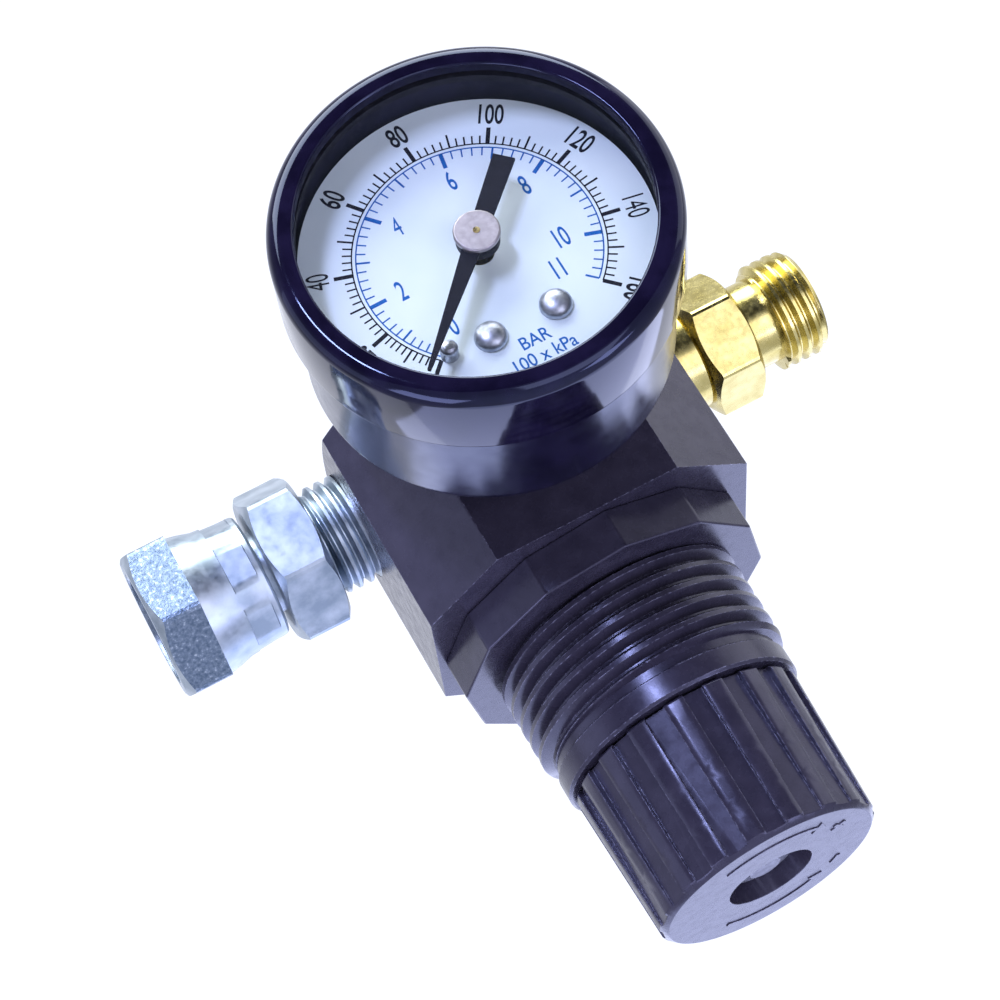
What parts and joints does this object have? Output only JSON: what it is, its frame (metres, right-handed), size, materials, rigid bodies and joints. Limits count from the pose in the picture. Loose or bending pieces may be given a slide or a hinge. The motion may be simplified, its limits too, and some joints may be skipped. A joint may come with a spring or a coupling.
{
  "type": "air pressure regulator",
  "caption": "Inline air pressure regulator with a round front gauge, push-to-lock knob, threaded bonnet, brass male inlet and steel swivel nut outlet.",
  "frame": {"origin": "centre of the bonnet's mounting shoulder, where the panel thread starts", "axes": "+Z from the knob toward the valve plug, -Y is the way the gauge faces, +X is the inlet"},
  "size_m": [0.0854, 0.0698, 0.0812],
  "materials": {
    "black_plastic": "satin moulded",
    "gloss_black": "gloss enamel",
    "zinc_steel": "bright zinc plate",
    "brass": "turned",
    "spring_steel": "drawn wire",
    "aluminium": "turned",
    "rubber": "moulded",
    "dial": "printed satin",
    "pointer_black": "matt",
    "window": "clear",
    "seal": "plain"
  },
  "bodies": {
    "regulator": {"body": "black_plastic", "bonnet": "black_plastic", "valve_plug": "brass", "plug_o_ring": "rubber", "rear_port_plug": "zinc_steel", "inlet_nipple": "brass", "inlet_o_ring": "rubber", "outlet_nipple": "zinc_steel", "nut_ring": "spring_steel", "gauge_socket": "brass", "socket_washer": "seal", "gauge_case": "gloss_black", "gauge_bezel": "gloss_black", "gauge_window": "window", "window_gasket": "rubber", "gauge_dial": "dial", "dial_screw_left": "zinc_steel", "dial_screw_right": "zinc_steel", "stop_pin": "zinc_steel", "movement_front_plate": "brass", "movement_back_plate": "brass", "movement_pillar_left": "brass", "movement_pillar_right": "brass", "movement_pillar_top": "brass", "hairspring": "spring_steel", "bourdon_tube": "brass", "tube_tip": "brass", "gauge_link": "spring_steel", "diaphragm": "rubber", "range_spring": "spring_steel", "valve_spring": "spring_steel"},
    "spindle": {"adjusting_screw": "zinc_steel", "knob_clip": "spring_steel"},
    "knob": {"adjusting_knob": "black_plastic"},
    "nut": {"spring_nut": "brass"},
    "plate": {"diaphragm_plate": "aluminium", "relief_seat": "brass"},
    "poppet": {"valve_stem": "brass", "valve_disc": "rubber"},
    "needle": {"pointer": "pointer_black", "pointer_cap": "zinc_steel", "pinion_shaft": "spring_steel"},
    "sector": {"sector_gear": "brass", "sector_shaft": "spring_steel"},
    "swivel": {"swivel_nut": "zinc_steel"}
  },
  "joints": [
    {"name": "screw_turn", "type": "hinge", "parent": "regulator", "child": "spindle", "pos_m": [0, 0, 0], "axis": [0, 0, 1], "range_deg": [0, 1440]},
    {"name": "knob_pull", "type": "slide", "parent": "spindle", "child": "knob", "axis": [0, 0, -1], "range_m": [0, 0.002]},
    {"name": "nut_travel", "type": "slide", "parent": "regulator", "child": "nut", "axis": [0, 0, 1], "range_m": [0, 0.004], "deforming": ["range_spring"]},
    {"name": "plate_lift", "type": "slide", "parent": "regulator", "child": "plate", "axis": [0, 0, 1], "range_m": [0, 0.0008], "stiffness_N_per_m": 2000, "deforming": ["diaphragm"]},
    {"name": "valve_lift", "type": "slide", "parent": "regulator", "child": "poppet", "axis": [0, 0, 1], "range_m": [0, 0.0008], "deforming": ["valve_spring"]},
    {"name": "needle_sweep", "type": "hinge", "parent": "regulator", "child": "needle", "pos_m": [0, 0, 0.026], "axis": [0, 1, 0], "range_deg": [0, 270]},
    {"name": "sector_turn", "type": "hinge", "parent": "regulator", "child": "sector", "pos_m": [0, 0, 0.0176], "axis": [0, 1, 0], "range_deg": [-45, 0]},
    {"name": "nut_spin", "type": "hinge", "parent": "regulator", "child": "swivel", "pos_m": [-0.0367, 0, 0.026], "axis": [1, 0, 0], "continuous": true}
  ],
  "couplings": [
    {"joint": "screw_turn", "follows": "nut_travel", "rad_per_m": 6283.2},
    {"joint": "valve_lift", "follows": "plate_lift", "ratio": 1},
    {"joint": "needle_sweep", "follows": "sector_turn", "ratio": -6}
  ]
}
